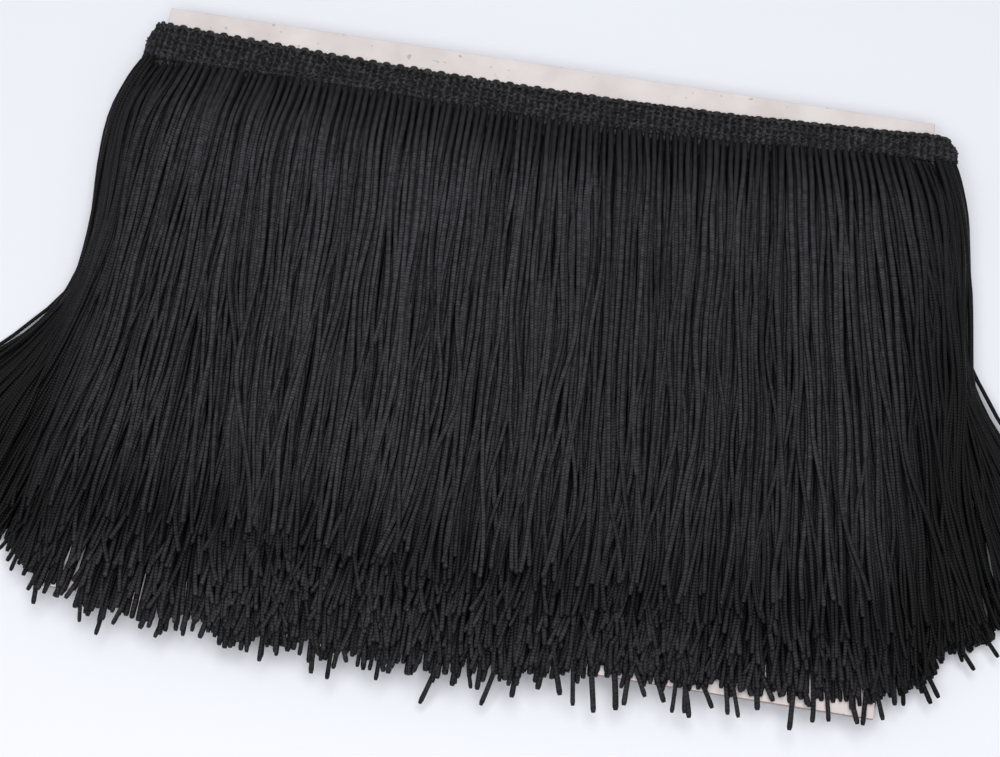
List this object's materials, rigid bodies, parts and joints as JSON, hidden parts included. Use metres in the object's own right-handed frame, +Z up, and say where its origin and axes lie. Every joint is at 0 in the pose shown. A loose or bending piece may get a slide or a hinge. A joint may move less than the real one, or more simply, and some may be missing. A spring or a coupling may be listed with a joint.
{
  "type": "tassel fringe trim on a card",
  "caption": "Fringe trim with a narrow woven heading and long dense hanging strands, wound round a flat card so that its strands fan out past the sides.",
  "frame": {"origin": "middle of the whole object's bounding box, on the surface it lies on", "axes": "+X along the heading, +Y up the card from the strands' ends to the heading, +Z up from the surface"},
  "size_m": [0.3708, 0.2014, 0.0192],
  "materials": {
    "card_board": "pale greyboard, matt",
    "heading_yarn": "black woven yarn, dull sheen",
    "fringe_yarn": "black chainette yarn, satin sheen"
  },
  "bodies": {
    "root": {"card": "card_board", "heading": "heading_yarn", "fringe": "fringe_yarn"}
  },
  "joints": []
}
